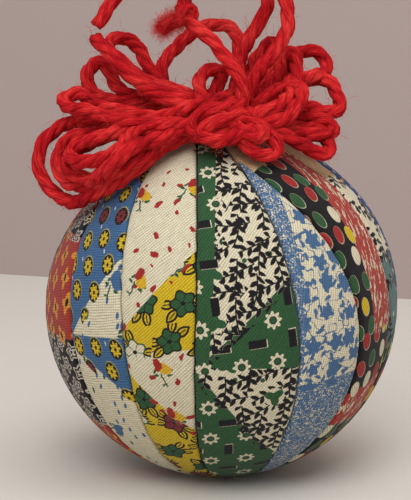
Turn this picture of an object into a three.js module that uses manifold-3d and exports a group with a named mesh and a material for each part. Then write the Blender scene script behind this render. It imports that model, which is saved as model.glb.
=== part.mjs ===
// A patchwork fabric ball with a yarn bow and a hanging loop. Millimetres, +Z up.
// Fifteen cloth gores meet at two poles, the bow sits on the upper pole, and the ball rests on
// the middle of its flat spot, which is the origin.
import * as THREE from "three";
import { mergeVertices } from "three/addons/utils/BufferGeometryUtils.js";
import Module from "manifold-3d";

const wasm = await Module();
wasm.setup();

// Ball
const BALL_RADIUS = 38.5;
const FLAT_SPOT_DEPTH = 0.9; // how far the resting spot is pressed in
const POLE_LEAN = 7.7; // degrees, from upright
const POLE_TOWARD = -66; // azimuth that the upper pole leans toward

// Seams between gores
const SEAM_GAP = 0.35;
const GROOVE_DEPTH = 1.1;
const GROOVE_SHOULDER = 2.4; // width of the rounded edge beside a seam
const GROOVE_FULL_WIDTH = 8; // a gore this wide has its full groove
const TIP_WIDTH = 0.3; // a gore ends where it is this narrow
const TABLE_TOP = 30; // colatitudes that the seam table gives
const TABLE_BASE = 150;
const ROW_STEP = 12; // degrees between the rows of points along a gore

// Yarn
const YARN_RADIUS = 1.7;
const YARN_SIDES = 8;
const BOW_SIDES = 5;
const YARN_STEP = 6;
const CLEARANCE = 0.4;

// Azimuths in degrees, 0 at the front and 90 at the right, of each gore's left-hand seam.
const SEAMS = [
  { top: -84, equator: -84, base: -84 },
  { top: -64, equator: -54, base: -56 },
  { top: -36, equator: -31, base: -38 },
  { top: -3, equator: -8, base: -20 },
  { top: 20, equator: 24, base: 15 },
  { top: 20, equator: 47, base: 32 },
  { top: 63, equator: 68, base: 62 },
  { top: 81, equator: 83, base: 84 },
  { top: 105, equator: 106, base: 108 },
  { top: 129, equator: 131, base: 131 },
  { top: 155, equator: 154, base: 153 },
  { top: 180, equator: 179, base: 178 },
  { top: 203, equator: 204, base: 203 },
  { top: 226, equator: 227, base: 228 },
  { top: 250, equator: 252, base: 251 },
];

// Soft hollows where the filling has settled.
const HOLLOWS = [
  { place: "left shoulder", azimuth: -88, colatitude: 42, depth: 2.2, breadth: 26 },
  { place: "right shoulder", azimuth: 86, colatitude: 40, depth: 0.9, breadth: 24 },
];

// The bow's loops. Each is a few points, chosen by hand, that its yarn passes on its way out of
// the heart and back.
const HEART = new THREE.Vector3(-1, -9, 79);
const HEART_SIZE = new THREE.Vector3(8.5, 6, 5);
const HEART_CROSSING = 5; // how far a loop's ends run on past the heart
const HEART_SPREAD = 2; // how far they lie from its middle there
const BOW_ROUTES = {
  "low left outer": [
    [-14, -12, 77], [-23, -11, 77], [-33, -9, 77], [-38, -9, 73], [-38, -10, 67], [-35, -12, 62],
    [-29, -16, 61], [-21, -21, 65], [-13, -19, 72], [-7, -17, 75],
  ],
  "low left second": [
    [-17, -14, 75], [-25, -14, 75], [-33, -13, 73], [-35, -13, 69], [-33, -14, 65], [-27, -18, 64],
    [-20, -23, 68], [-13, -21, 73], [-6, -17, 76],
  ],
  "low left third": [
    [-18, -17, 75], [-26, -17, 74], [-31, -16, 71], [-32, -17, 67], [-27, -21, 66], [-22, -26, 69],
    [-16, -25, 73], [-11, -21, 75], [-5, -16, 77],
  ],
  "low left inner": [
    [-15, -18, 77], [-24, -20, 75], [-29, -19, 73], [-31, -19, 71], [-29, -21, 69], [-25, -24, 70],
    [-21, -25, 72], [-18, -22, 75], [-10, -18, 77],
  ],
  "left level": [
    [-9, -20, 77], [-14, -21, 77], [-21, -19, 78], [-27, -16, 79], [-32, -13, 80], [-34, -11, 82],
    [-31, -9, 83], [-26, -11, 80], [-18, -15, 79], [-11, -17, 79], [-5, -17, 81], [0, -15, 82],
  ],
  "left oval": [
    [-14, -7, 80], [-21, -5, 81], [-26, -3, 82], [-29, -1, 85], [-29, 0, 88], [-27, 1, 90], [-25, 0, 89],
    [-23, -2, 86], [-20, -4, 83], [-12, -7, 81],
  ],
  "left high": [
    [-9, -12, 82], [-15, -12, 84], [-19, -12, 87], [-22, -11, 90], [-24, -10, 92], [-26, -8, 94],
    [-25, -5, 93], [-23, -5, 91], [-20, -5, 88], [-16, -7, 85],
  ],
  "left peak": [
    [-8, -3, 82], [-13, 0, 85], [-15, 3, 87], [-17, 4, 89], [-18, 5, 92], [-20, 5, 94], [-22, 5, 94],
    [-24, 4, 93], [-24, 3, 91], [-22, 1, 88], [-19, 0, 86], [-14, -2, 84],
  ],
  "middle left": [
    [-7, -13, 80], [-12, -13, 82], [-16, -11, 84], [-16, -8, 85], [-11, -7, 84], [-6, -8, 82],
  ],
  "middle small": [
    [-3, -11, 81], [-4, -9, 84], [-4, -8, 86], [-3, -7, 88], [0, -6, 88], [0, -5, 86], [-1, -5, 84],
    [-2, -6, 82],
  ],
  "back arch": [
    [-9, -2, 81], [-13, 2, 85], [-13, 4, 88], [-11, 6, 92], [-8, 7, 95], [-3, 8, 97], [2, 7, 97],
    [4, 5, 94], [4, 2, 90], [3, -3, 85],
  ],
  "back upright": [[5, 0, 84], [7, 4, 89], [9, 6, 92], [11, 6, 94], [12, 4, 92], [11, 1, 88], [8, -3, 83]],
  "right steep": [
    [6, -8, 81], [9, -6, 83], [12, -3, 87], [13, -1, 90], [15, -1, 92], [16, -3, 89], [15, -6, 85],
    [10, -9, 82],
  ],
  "right peak": [
    [7, -7, 82], [14, -2, 85], [15, 1, 88], [16, 3, 90], [17, 4, 91], [20, 4, 92], [22, 3, 91],
    [23, 1, 89], [22, -1, 87], [19, -4, 86], [16, -8, 85], [15, -11, 83], [14, -14, 82], [11, -17, 80],
    [8, -19, 79], [5, -20, 77],
  ],
  "right bright": [
    [-3, -18, 75], [3, -20, 75], [8, -20, 77], [12, -19, 78], [15, -17, 80], [17, -14, 82], [17, -12, 84],
    [15, -10, 85], [12, -9, 84], [8, -9, 81],
  ],
  "right oval": [
    [11, -5, 82], [16, -2, 84], [19, 0, 85], [22, -1, 86], [24, -2, 85], [25, -3, 82], [25, -5, 80],
    [24, -7, 79], [22, -8, 79], [19, -9, 80], [14, -10, 80],
  ],
  "right level": [
    [8, -10, 79], [15, -9, 79], [20, -9, 78], [23, -9, 77], [24, -10, 75], [22, -12, 74], [16, -14, 75],
    [9, -14, 77],
  ],
  "right low": [
    [6, -11, 77], [12, -10, 77], [18, -10, 76], [22, -11, 75], [23, -13, 73], [23, -15, 72],
    [21, -17, 71], [18, -18, 72], [14, -19, 74], [8, -17, 77],
  ],
  "front curl": [
    [-1, -17, 78], [2, -21, 75], [4, -22, 74], [6, -23, 72], [9, -23, 71], [11, -22, 72], [11, -22, 74],
    [9, -21, 76], [5, -20, 78],
  ],
  "behind left": [[-7, -4, 80], [-14, 1, 81], [-18, 6, 80], [-17, 9, 77], [-11, 6, 76], [-6, 0, 78]],
  "behind right": [[6, -4, 80], [13, 2, 81], [17, 7, 80], [15, 10, 77], [9, 7, 76], [4, 0, 78]],
  "behind": [[-2, -2, 81], [-4, 6, 82], [-3, 12, 79], [0, 14, 76], [3, 11, 77], [3, 3, 80]],
  "front lump": [
    [6, -17, 79], [1, -22, 78], [-2, -23, 77], [-4, -23, 75], [-1, -24, 74], [3, -23, 75], [8, -20, 77],
  ],
  "front lump inner": [
    [4, -16, 81], [0, -19, 80], [-4, -20, 79], [-6, -20, 77], [-5, -21, 75], [0, -22, 75], [5, -20, 76],
  ],
  "front curl inner": [
    [-1, -18, 79], [3, -21, 77], [6, -23, 75], [8, -23, 74], [9, -23, 75], [8, -21, 77], [4, -19, 79],
  ],
};
const BOW_POINTS = 16; // places that a loop's line is worked out at

// Routes of the free yarn, chosen by hand.
const LOOP_ROUTE = [
  [3.8, -12.5, 79.5],
  [4.6, -13.5, 83.0],
  [3.4, -13.0, 87.0],
  [0.4, -12.0, 91.0],
  [-2.4, -11.0, 94.6],
  [-5.6, -10.3, 97.0],
  [-7.6, -9.8, 100.3],
  [-7.4, -9.2, 104.5],
  [-4.6, -8.6, 109.0],
  [0.8, -8.1, 111.8],
  [6.8, -8.0, 110.8],
  [11.6, -8.0, 106.8],
  [13.6, -8.2, 101.8],
  [13.8, -8.7, 96.5],
  [11.6, -9.6, 92.3],
  [8.4, -10.6, 88.6],
  [6.2, -11.0, 84.5],
  [5.6, -9.6, 80.5],
];
const KNOT = new THREE.Vector3(-7.4, -9.9, 99.6);
const KNOT_SIZE = new THREE.Vector3(2.7, 2.6, 3.1);
const KNOT_END_ROUTE = [
  [-7.4, -10.0, 99.0],
  [-9.2, -10.6, 98.2],
  [-11.2, -11.0, 97.4],
  [-12.6, -11.2, 96.0],
];
const TAIL_ROUTE = [
  [5.2, -4.6, 81.0],
  [3.6, -3.4, 86.0],
  [4.4, -3.0, 91.5],
  [7.2, -3.4, 96.5],
  [9.8, -4.0, 101.5],
  [8.8, -4.3, 107.5],
  [3.0, -4.0, 112.6],
  [-5.5, -4.5, 113.8],
  [-13.5, -5.5, 111.2],
  [-19.5, -6.5, 106.4],
  [-23.6, -7.0, 101.0],
  [-26.2, -7.5, 97.2],
];

const radians = THREE.MathUtils.degToRad;
const centreHeight = BALL_RADIUS - FLAT_SPOT_DEPTH;

// A closed three.js geometry as a solid that can be cut and joined.
function solid(geometry) {
  const bare = geometry.clone();
  bare.deleteAttribute("normal");
  bare.deleteAttribute("uv");
  const merged = mergeVertices(bare, 1e-4);
  return new wasm.Manifold(
    new wasm.Mesh({
      numProp: 3,
      vertProperties: merged.attributes.position.array,
      triVerts: new Uint32Array(merged.index.array),
    }),
  );
}

function geometryOf(body) {
  const mesh = body.getMesh();
  const geometry = new THREE.BufferGeometry();
  geometry.setAttribute("position", new THREE.BufferAttribute(mesh.vertProperties, 3));
  geometry.setIndex(new THREE.BufferAttribute(mesh.triVerts, 1));
  geometry.computeVertexNormals();
  return geometry;
}

function union(bodies) {
  return bodies.reduce((joined, body) => joined.add(body));
}

function nodeMesh(name, geometry, material) {
  const mesh = new THREE.Mesh(geometry, material);
  mesh.name = name;
  return mesh;
}

// Gores ------------------------------------------------------------------------------------

// A seam's azimuth at a colatitude, on a curve through its three given places.
function seamAzimuth(seam, colatitude) {
  const held = THREE.MathUtils.clamp(colatitude, TABLE_TOP, TABLE_BASE);
  const middle = (TABLE_TOP + TABLE_BASE) / 2;
  const along = (held - middle) / (TABLE_BASE - middle);
  const slope = (seam.base - seam.top) / 2;
  const bend = (seam.base + seam.top) / 2 - seam.equator;
  return seam.equator + slope * along + bend * along * along;
}

function ballPoint(radius, colatitude, azimuth) {
  const across = radius * Math.sin(radians(colatitude));
  return new THREE.Vector3(
    across * Math.sin(radians(azimuth)),
    -across * Math.cos(radians(azimuth)),
    radius * Math.cos(radians(colatitude)),
  );
}

function ballRadius(colatitude, azimuth) {
  const here = ballPoint(1, colatitude, azimuth);
  return HOLLOWS.reduce((radius, hollow) => {
    const middle = ballPoint(1, hollow.colatitude, hollow.azimuth);
    const away = THREE.MathUtils.radToDeg(here.angleTo(middle)) / hollow.breadth;
    return radius - hollow.depth * Math.exp(-away * away);
  }, BALL_RADIUS);
}

function goreSpan(left, right, colatitude) {
  const from = seamAzimuth(left, colatitude);
  const to = seamAzimuth(right, colatitude);
  const perDegree = radians(1) * BALL_RADIUS * Math.sin(radians(colatitude));
  const width = (to - from) * perDegree - SEAM_GAP;
  return { middle: (from + to) / 2, half: width / 2 / perDegree, width };
}

// The colatitude nearest a pole where the gore is still wide enough to have a tip.
function tipColatitude(left, right, pole) {
  let colatitude = pole;
  const inward = pole < 90 ? 0.25 : -0.25;
  while (goreSpan(left, right, colatitude + inward).width < TIP_WIDTH) {
    colatitude += inward;
  }
  return colatitude + inward;
}

// Colatitudes of a gore's rows: its two tips, and between them the rows that all gores share.
function goreRows(top, base) {
  const rows = [top];
  for (let colatitude = ROW_STEP; colatitude < 180; colatitude += ROW_STEP) {
    if (colatitude > top + 2 && colatitude < base - 2) rows.push(colatitude);
  }
  return [...rows, base];
}

// Places across a gore from -1 to 1, closer together where its edge rolls into the groove.
function goreColumns(width) {
  const shoulder = Math.min(GROOVE_SHOULDER, 0.35 * width) / (width / 2);
  const right = [(1 - shoulder) / 2, 1 - shoulder, 1];
  return [...right.map((place) => -place).reverse(), 0, ...right];
}

function groove(place, width) {
  const shoulder = Math.min(GROOVE_SHOULDER, 0.35 * width);
  const inside = ((1 - Math.abs(place)) * width) / 2;
  const roll = Math.max(0, 1 - inside / shoulder);
  return GROOVE_DEPTH * THREE.MathUtils.smoothstep(width, 0, GROOVE_FULL_WIDTH) * roll * roll;
}

// One gore: its crowned cloth face from tip to tip, filled in to a point near the ball's middle.
function goreGeometry(left, right) {
  const rows = goreRows(tipColatitude(left, right, 0), tipColatitude(left, right, 180));
  const points = [];
  for (const colatitude of rows) {
    const span = goreSpan(left, right, colatitude);
    for (const place of goreColumns(span.width)) {
      const azimuth = span.middle + place * span.half;
      const radius = ballRadius(colatitude, azimuth) - groove(place, span.width);
      points.push(ballPoint(radius, colatitude, azimuth));
    }
  }
  const columns = points.length / rows.length;
  const equator = goreSpan(left, right, 90);
  const apexOut = SEAM_GAP / 2 / Math.sin(radians(equator.half));
  const apex = points.push(ballPoint(apexOut, 90, equator.middle)) - 1;
  const faces = [];
  for (let row = 0; row + 1 < rows.length; row += 1) {
    for (let column = 0; column + 1 < columns; column += 1) {
      const a = row * columns + column;
      const b = a + columns;
      faces.push([a, b, a + 1], [a + 1, b, b + 1]);
    }
    faces.push([row * columns, apex, (row + 1) * columns]);
    faces.push([(row + 1) * columns - 1, (row + 2) * columns - 1, apex]);
  }
  const lastRow = (rows.length - 1) * columns;
  for (let column = 0; column + 1 < columns; column += 1) {
    faces.push([column, column + 1, apex], [lastRow + column + 1, lastRow + column, apex]);
  }
  const geometry = new THREE.BufferGeometry().setFromPoints(points);
  geometry.setIndex(faces.flat());
  return geometry;
}

// Turns and lifts the ball so that its upper pole leans and its flat spot lies on z = 0.
function ballPlacement() {
  const toward = radians(POLE_TOWARD);
  const hinge = new THREE.Vector3(Math.cos(toward), Math.sin(toward), 0);
  return new THREE.Matrix4()
    .makeRotationAxis(hinge, radians(POLE_LEAN))
    .setPosition(0, 0, centreHeight);
}

function cutAtRest(body) {
  const under = new THREE.BoxGeometry(BALL_RADIUS, BALL_RADIUS, BALL_RADIUS);
  under.translate(0, 0, -BALL_RADIUS / 2);
  return body.subtract(solid(under));
}

const GORE_COLOURS = [0x26221f, 0x4a72a8, 0xe3d7bd, 0x2f6a42, 0xdfe0dc, 0x2a2528, 0x3c4a4c, 0x33476e];

function buildGores() {
  const placement = ballPlacement();
  return SEAMS.map((left, index) => {
    const next = SEAMS[(index + 1) % SEAMS.length];
    const wraps = index + 1 === SEAMS.length ? 360 : 0;
    const right = { top: next.top + wraps, equator: next.equator + wraps, base: next.base + wraps };
    const geometry = goreGeometry(left, right).applyMatrix4(placement);
    const material = new THREE.MeshStandardMaterial({
      color: GORE_COLOURS[index % GORE_COLOURS.length],
      roughness: 0.85,
      metalness: 0,
    });
    const name = "gore_" + String(index + 1).padStart(2, "0");
    return nodeMesh(name, geometryOf(cutAtRest(solid(geometry))), material);
  });
}

// Yarn -------------------------------------------------------------------------------------

function yarnMaterial() {
  return new THREE.MeshStandardMaterial({ color: 0xc41e26, roughness: 0.95, metalness: 0 });
}

function yarnSection(radius, sides) {
  const corners = [];
  for (let side = 0; side < sides; side += 1) {
    const turn = (side / sides) * 2 * Math.PI;
    corners.push(new THREE.Vector2(radius * Math.cos(turn), radius * Math.sin(turn)));
  }
  return new THREE.Shape(corners);
}

function yarnTube(points, radius = YARN_RADIUS, sides = YARN_SIDES) {
  const path = new THREE.CatmullRomCurve3(points, false, "centripetal");
  const steps = Math.max(3, Math.round(path.getLength() / YARN_STEP));
  const section = yarnSection(radius, sides);
  return solid(new THREE.ExtrudeGeometry(section, { steps, bevelEnabled: false, extrudePath: path }));
}

// Keeps a bow's yarn off the ball.
function liftedOffBall(point) {
  const middle = new THREE.Vector3(0, 0, centreHeight);
  const least = BALL_RADIUS + YARN_RADIUS + CLEARANCE;
  const out = point.clone().sub(middle);
  if (out.length() < least) out.setLength(least);
  return out.add(middle);
}

function ellipsoid(size, centre, across, down) {
  const geometry = new THREE.SphereGeometry(1, across, down);
  geometry.scale(size.x, size.y, size.z);
  geometry.translate(centre.x, centre.y, centre.z);
  return solid(geometry);
}

function vectors(route) {
  return route.map((place) => new THREE.Vector3(...place));
}

// Where a loop's two ends lie, across the heart from the loop.
function heartEnds(points) {
  const reach = points[Math.floor(points.length / 2)].clone().sub(HEART).normalize();
  const aside = new THREE.Vector3(0, -1, 0).cross(reach).setLength(HEART_SPREAD);
  const crossed = HEART.clone().addScaledVector(reach, -HEART_CROSSING);
  return [crossed.clone().add(aside), crossed.clone().sub(aside)];
}

// A loop is two legs that meet in a round tip.
function bowLoop(places) {
  const points = vectors(places);
  const [start, end] = heartEnds(points);
  const smooth = new THREE.CatmullRomCurve3([start, ...points, end], false, "centripetal");
  const line = smooth.getSpacedPoints(BOW_POINTS).map(liftedOffBall);
  const tip = BOW_POINTS / 2;
  const tipSize = new THREE.Vector3(1, 1, 1).multiplyScalar(1.1 * YARN_RADIUS);
  return [
    yarnTube(line.slice(0, tip + 1), YARN_RADIUS, BOW_SIDES),
    yarnTube(line.slice(tip), YARN_RADIUS, BOW_SIDES),
    ellipsoid(tipSize, line[tip], 6, 4),
  ];
}

function biggest(body) {
  return body.decompose().reduce((most, one) => (one.volume() > most.volume() ? one : most));
}

function buildBow() {
  const ballAndGap = new THREE.SphereGeometry(BALL_RADIUS + CLEARANCE, 48, 32);
  ballAndGap.translate(0, 0, centreHeight);
  const whole = union([ellipsoid(HEART_SIZE, HEART, 8, 6), ...Object.values(BOW_ROUTES).flatMap(bowLoop)]);
  const freed = [LOOP_ROUTE, TAIL_ROUTE].reduce(
    (body, route) => body.subtract(yarnTube(vectors(route), YARN_RADIUS + CLEARANCE)),
    whole.subtract(solid(ballAndGap)),
  );
  return nodeMesh("yarn_bow", geometryOf(biggest(freed)), yarnMaterial());
}

// The loop that the ball hangs from, with the knot that closes it and the knot's short end.
function buildHangingLoop() {
  const knot = ellipsoid(KNOT_SIZE, KNOT, 8, 6);
  const whole = union([yarnTube(vectors(LOOP_ROUTE)), knot, yarnTube(vectors(KNOT_END_ROUTE))]);
  return nodeMesh("hanging_loop", geometryOf(whole), yarnMaterial());
}

function buildLooseTail() {
  return nodeMesh("loose_tail", geometryOf(yarnTube(vectors(TAIL_ROUTE))), yarnMaterial());
}

const group = new THREE.Group();
group.add(...buildGores());
group.add(buildBow());
group.add(buildHangingLoop());
group.add(buildLooseTail());

export default group;
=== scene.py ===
# %% [markdown]
# # A patchwork ball with a yarn bow
#
# The real thing is a firm craft ball, about 77 mm across. Fifteen long strips of printed
# patchwork cotton cover it from pole to pole, with their edges pushed into slits in the ball.
# A bow of thick red yarn sits on the upper pole, with a loop of the same yarn to hang it by.
# The solid model already says where each strip and each piece of yarn is. It is loaded here
# as a fixed frame, and everything below is made in the same metres and the same place.

# %% Load the frame
import math

import bpy
import numpy as np
from mathutils import Matrix, Vector, noise


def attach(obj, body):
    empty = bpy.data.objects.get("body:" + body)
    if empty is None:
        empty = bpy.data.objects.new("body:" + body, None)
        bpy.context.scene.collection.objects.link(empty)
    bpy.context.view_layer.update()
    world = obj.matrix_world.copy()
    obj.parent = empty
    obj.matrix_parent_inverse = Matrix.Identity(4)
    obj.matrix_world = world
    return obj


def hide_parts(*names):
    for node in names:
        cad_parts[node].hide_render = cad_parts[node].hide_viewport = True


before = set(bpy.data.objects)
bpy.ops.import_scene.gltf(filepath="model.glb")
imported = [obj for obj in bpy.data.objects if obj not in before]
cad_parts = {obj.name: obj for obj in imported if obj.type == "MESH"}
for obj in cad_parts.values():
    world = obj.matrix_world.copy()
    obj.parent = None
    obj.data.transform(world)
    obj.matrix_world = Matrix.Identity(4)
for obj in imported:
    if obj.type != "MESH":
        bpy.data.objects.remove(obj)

MM = 0.001
noise.seed_set(4)  # so that the yarn wanders the same way each time
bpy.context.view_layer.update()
print("nodes in the frame:", len(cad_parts))

# %% [markdown]
# ## Where the camera stands
#
# A small thing looks natural when the camera isn't too near it. This one is a third of a metre
# away with a long lens, a little above the ball's middle. It aims above the ball, so that the
# bow has room in the upper part of the picture.

# %% The camera
BALL_RADIUS = 38.5 * MM
FLAT_SPOT_DEPTH = 0.9 * MM
BALL_CENTRE = Vector((0, 0, BALL_RADIUS - FLAT_SPOT_DEPTH))
CAMERA_DISTANCE = 0.350
CAMERA_ELEVATION = math.radians(9)
CAMERA_LENS = 114.75
AIM_ABOVE_CENTRE = 11.0 * MM
AIM_LEFT_OF_CENTRE = 3.4 * MM

scene = bpy.context.scene
toward_camera = Vector((0, -math.cos(CAMERA_ELEVATION), math.sin(CAMERA_ELEVATION)))
camera_up = Vector((0, math.sin(CAMERA_ELEVATION), math.cos(CAMERA_ELEVATION)))
camera_data = bpy.data.cameras.new("camera")
camera_data.lens = CAMERA_LENS
camera = bpy.data.objects.new("camera", camera_data)
camera.location = BALL_CENTRE + toward_camera * CAMERA_DISTANCE
aim = BALL_CENTRE + camera_up * AIM_ABOVE_CENTRE - Vector((AIM_LEFT_OF_CENTRE, 0, 0))
camera.rotation_euler = (aim - camera.location).to_track_quat("-Z", "Y").to_euler()
scene.collection.objects.link(camera)
scene.camera = camera
print("camera at, mm:", [round(v / MM) for v in camera.location])

# %% [markdown]
# ## Node trees written as sums
#
# A procedural finish is a rule that turns a place on the cloth into a colour. Wiring each sum by
# hand hides that rule, so a small class carries a socket and lets sums be written with + and *.
# Each sum adds the same node that a hand would add.

# %% A value that flows through nodes
def put(tree, kind, values=(), out=0, **settings):
    """Adds a node, sets it, fills its inputs by order or by name, and gives one output."""
    node = tree.nodes.new(kind)
    for name, value in settings.items():
        setattr(node, name, value)
    pairs = values.items() if isinstance(values, dict) else enumerate(values)
    for where, value in pairs:
        if isinstance(value, Flow):
            tree.links.new(value.socket, node.inputs[where])
        elif value is not None:
            node.inputs[where].default_value = value
    return Flow(node.outputs[out])


class Flow:
    """A number, place or colour on its way through a node tree."""

    def __init__(self, socket):
        self.socket = socket
        self.tree = socket.id_data

    def also(self, name):
        return Flow(self.socket.node.outputs[name])

    def math(self, operation, *others):
        return put(self.tree, "ShaderNodeMath", (self, *others), operation=operation)

    def vector(self, operation, *others):
        return put(self.tree, "ShaderNodeVectorMath", (self, *others), operation=operation)

    def scaled(self, factor):
        values = {"Vector": self, "Scale": factor}
        return put(self.tree, "ShaderNodeVectorMath", values, operation="SCALE")

    def __add__(self, other):
        return self.math("ADD", other)

    def __sub__(self, other):
        return self.math("SUBTRACT", other)

    def __rsub__(self, other):
        return self * -1 + other

    def __mul__(self, other):
        return self.math("MULTIPLY", other)

    def __truediv__(self, other):
        return self.math("DIVIDE", other)

    __radd__ = __add__
    __rmul__ = __mul__

    def parts(self):
        """The three numbers of a place."""
        across = put(self.tree, "ShaderNodeSeparateXYZ", (self,))
        return across, across.also("Y"), across.also("Z")


def place_of(tree, x=0.0, y=0.0, z=0.0):
    return put(tree, "ShaderNodeCombineXYZ", (x, y, z))


# %% [markdown]
# ## The yarn's colour, with painted highlights and shade
#
# Acrylic yarn is a bundle of fine fibres that run along each ply. Its colour here is painted light and
# shade, brighter where fibres lie on top and dark in the folds, mixed with tone that differs at random.
# The yarn's mesh carries two attributes: how far along it a point is, and where on the ply's ring. A
# noise stretched along those two makes fibres that follow every bend, painted between a shade red and a
# highlight red. Painted shade also darkens the faces of the plies that turn in toward the yarn's middle,
# in the grooves between them.

# %% Colours and plain materials
def linear(channel):
    """One colour channel as light, from the number that a colour picker shows."""
    share = channel / 255
    return share / 12.92 if share <= 0.04045 else ((share + 0.055) / 1.055) ** 2.4


def colour(red, green, blue):
    return (linear(red), linear(green), linear(blue), 1.0)


def blended(tree, share, first, second, way="MIX"):
    """One colour laid over another, or multiplied by it."""
    values = {0: share, 6: first, 7: second}
    return put(tree, "ShaderNodeMix", values, out=2, data_type="RGBA", blend_type=way)


def noise_at(place, scale, detail=2.0, roughness=0.5):
    values = {"Vector": place, "Scale": scale, "Detail": detail, "Roughness": roughness}
    return put(place.tree, "ShaderNodeTexNoise", values)


def ramp(value, low, high):
    """0 at low and 1 at high."""
    return put(value.tree, "ShaderNodeMapRange", {"Value": value, "From Min": low, "From Max": high})


def new_material(name, **shader_values):
    """A material, its tree and its shader, with the shader's own sockets set."""
    material = bpy.data.materials.new(name)
    material.use_nodes = True
    shader = material.node_tree.nodes["Principled BSDF"]
    for label, value in shader_values.items():
        shader.inputs[label.replace("_", " ")].default_value = value
    return material, material.node_tree, shader


def finish_shader(shader, shade, height, distance, strength=1.0):
    tree = shade.tree
    values = {"Height": height, "Distance": distance, "Strength": strength}
    normal = put(tree, "ShaderNodeBump", values)
    tree.links.new(shade.socket, shader.inputs["Base Color"])
    tree.links.new(normal.socket, shader.inputs["Normal"])


# %% The red of the yarn
YARN_SHADOW = colour(104, 4, 12)
YARN_RED = colour(186, 20, 28)
YARN_LIGHT = colour(236, 70, 64)
FIBRE_STRETCH = 9.0 * MM


def yarn_material(name):
    material, tree, shader = new_material(name, Roughness=0.95, Specular_IOR_Level=0.12)
    ring = put(tree, "ShaderNodeAttribute", out="Vector", attribute_name="ring")
    along = put(tree, "ShaderNodeAttribute", out="Fac", attribute_name="along")
    across, up, _ = ring.parts()
    fibre = noise_at(place_of(tree, across, up, along / FIBRE_STRETCH), 5.0, 4.0, 0.65)
    patch = noise_at(put(tree, "ShaderNodeTexCoord", out="Object"), 160.0)
    # Painted highlights and shade, mixed with tone that differs at random: the fibre noise and a patchy
    # noise pick between the shade red, the yarn's red and the highlight red.
    lift = ramp(fibre * 0.6 + patch * 0.4, 0.33, 0.67)
    # Painted shade in the grooves: where a ply's surface faces in toward the yarn's middle, its colour is
    # darkened toward the shade red.
    facing = put(tree, "ShaderNodeAttribute", out="Fac", attribute_name="facing")
    groove = ramp(facing, 0.7, -0.3) * 0.4
    low = blended(tree, (lift * 2).math("MINIMUM", 1.0), YARN_SHADOW, YARN_RED)
    shade = blended(tree, (lift * 2 - 1).math("MAXIMUM", 0.0), low, YARN_LIGHT)
    shade = blended(tree, groove, shade, YARN_SHADOW)
    finish_shader(shader, shade, fibre, 0.3 * MM, 0.45)
    return material


RED_YARN = yarn_material("red yarn")
print("yarn material nodes:", len(RED_YARN.node_tree.nodes))

# %% [markdown]
# ## Geometry trees
#
# Plied yarn and its fuzz follow a path or a surface by a rule, so Geometry Nodes make them. Each
# tree has named inputs, and its result is kept as a plain mesh without the modifier.

# %% Making and running a geometry tree
SOCKET_KINDS = {int: "NodeSocketInt", float: "NodeSocketFloat", type(None): "NodeSocketMaterial"}


def geometry_tree(name, sizes):
    """A tree with a geometry input, one named input for each size, and a material input."""
    tree = bpy.data.node_groups.new(name, "GeometryNodeTree")
    face = tree.interface
    face.new_socket("Geometry", in_out="INPUT", socket_type="NodeSocketGeometry")
    for label, size in {**sizes, "Material": None}.items():
        made = face.new_socket(label, in_out="INPUT", socket_type=SOCKET_KINDS[type(size)])
        if size is not None:
            made.default_value = size
    face.new_socket("Geometry", in_out="OUTPUT", socket_type="NodeSocketGeometry")
    start = tree.nodes.new("NodeGroupInput")
    return tree, {socket.name: Flow(socket) for socket in start.outputs if socket.name}


def close_tree(tree, geometry, material):
    """Ends a tree with real geometry and its material."""
    real = put(tree, "GeometryNodeRealizeInstances", (geometry,))
    painted = put(tree, "GeometryNodeSetMaterial", {"Geometry": real, "Material": material})
    tree.links.new(painted.socket, tree.nodes.new("NodeGroupOutput").inputs[0])


def stored(geometry, name, value, kind):
    """Geometry that carries a named value at each of its points."""
    values = {"Geometry": geometry, "Name": name, "Value": value}
    return put(geometry.tree, "GeometryNodeStoreNamedAttribute", values, data_type=kind, domain="POINT")


def grown(name, tree, carrier_mesh, **settings):
    """Runs a tree on a carrier mesh and keeps the result as a plain mesh object."""
    carrier = bpy.data.objects.new(name + " carrier", carrier_mesh)
    scene.collection.objects.link(carrier)
    modifier = carrier.modifiers.new("grow", "NODES")
    modifier.node_group = tree
    for item in tree.interface.items_tree:
        label = item.name.replace(" ", "_")
        if item.in_out == "INPUT" and label in settings:
            modifier[item.identifier] = settings[label]
    evaluated = carrier.evaluated_get(bpy.context.evaluated_depsgraph_get())
    mesh = bpy.data.meshes.new_from_object(evaluated)
    bpy.data.objects.remove(carrier)
    mesh.name = name
    made = bpy.data.objects.new(name, mesh)
    scene.collection.objects.link(made)
    print(name, "has", sum(len(face.vertices) - 2 for face in mesh.polygons), "triangles")
    return made


# %% [markdown]
# ## Thick red yarn
#
# Knitting yarn is soft plies twisted round each other. A plain tube with a bump would lose its wavy
# outline, so each ply is a tube of its own, wound round the yarn's route. Routes are given as a few
# points, and a smooth curve runs through them.

# %% A smooth route through points
ROUTE_STEP = 1.0 * MM


def in_metres(points):
    return [Vector(point) * MM for point in points]


def smooth_route(points):
    """Points about a step apart on a centripetal Catmull-Rom curve through the given ones."""
    held = [2 * points[0] - points[1], *points, 2 * points[-1] - points[-2]]
    route = []
    for before, start, end, after in zip(held, held[1:], held[2:], held[3:]):
        t1 = (start - before).length ** 0.5
        t2 = t1 + (end - start).length ** 0.5
        t3 = t2 + (after - end).length ** 0.5
        pieces = max(2, round((end - start).length / ROUTE_STEP))
        for piece in range(pieces):
            t = t1 + (t2 - t1) * piece / pieces
            a1 = before.lerp(start, t / t1)
            a2 = start.lerp(end, (t - t1) / (t2 - t1))
            a3 = end.lerp(after, (t - t2) / (t3 - t2))
            b1 = a1.lerp(a2, t / t2)
            b2 = a2.lerp(a3, (t - t1) / (t3 - t1))
            route.append(b1.lerp(b2, (t - t1) / (t2 - t1)))
    return [*route, points[-1]]


def route_length(route):
    return sum((b - a).length for a, b in zip(route, route[1:]))


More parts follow.
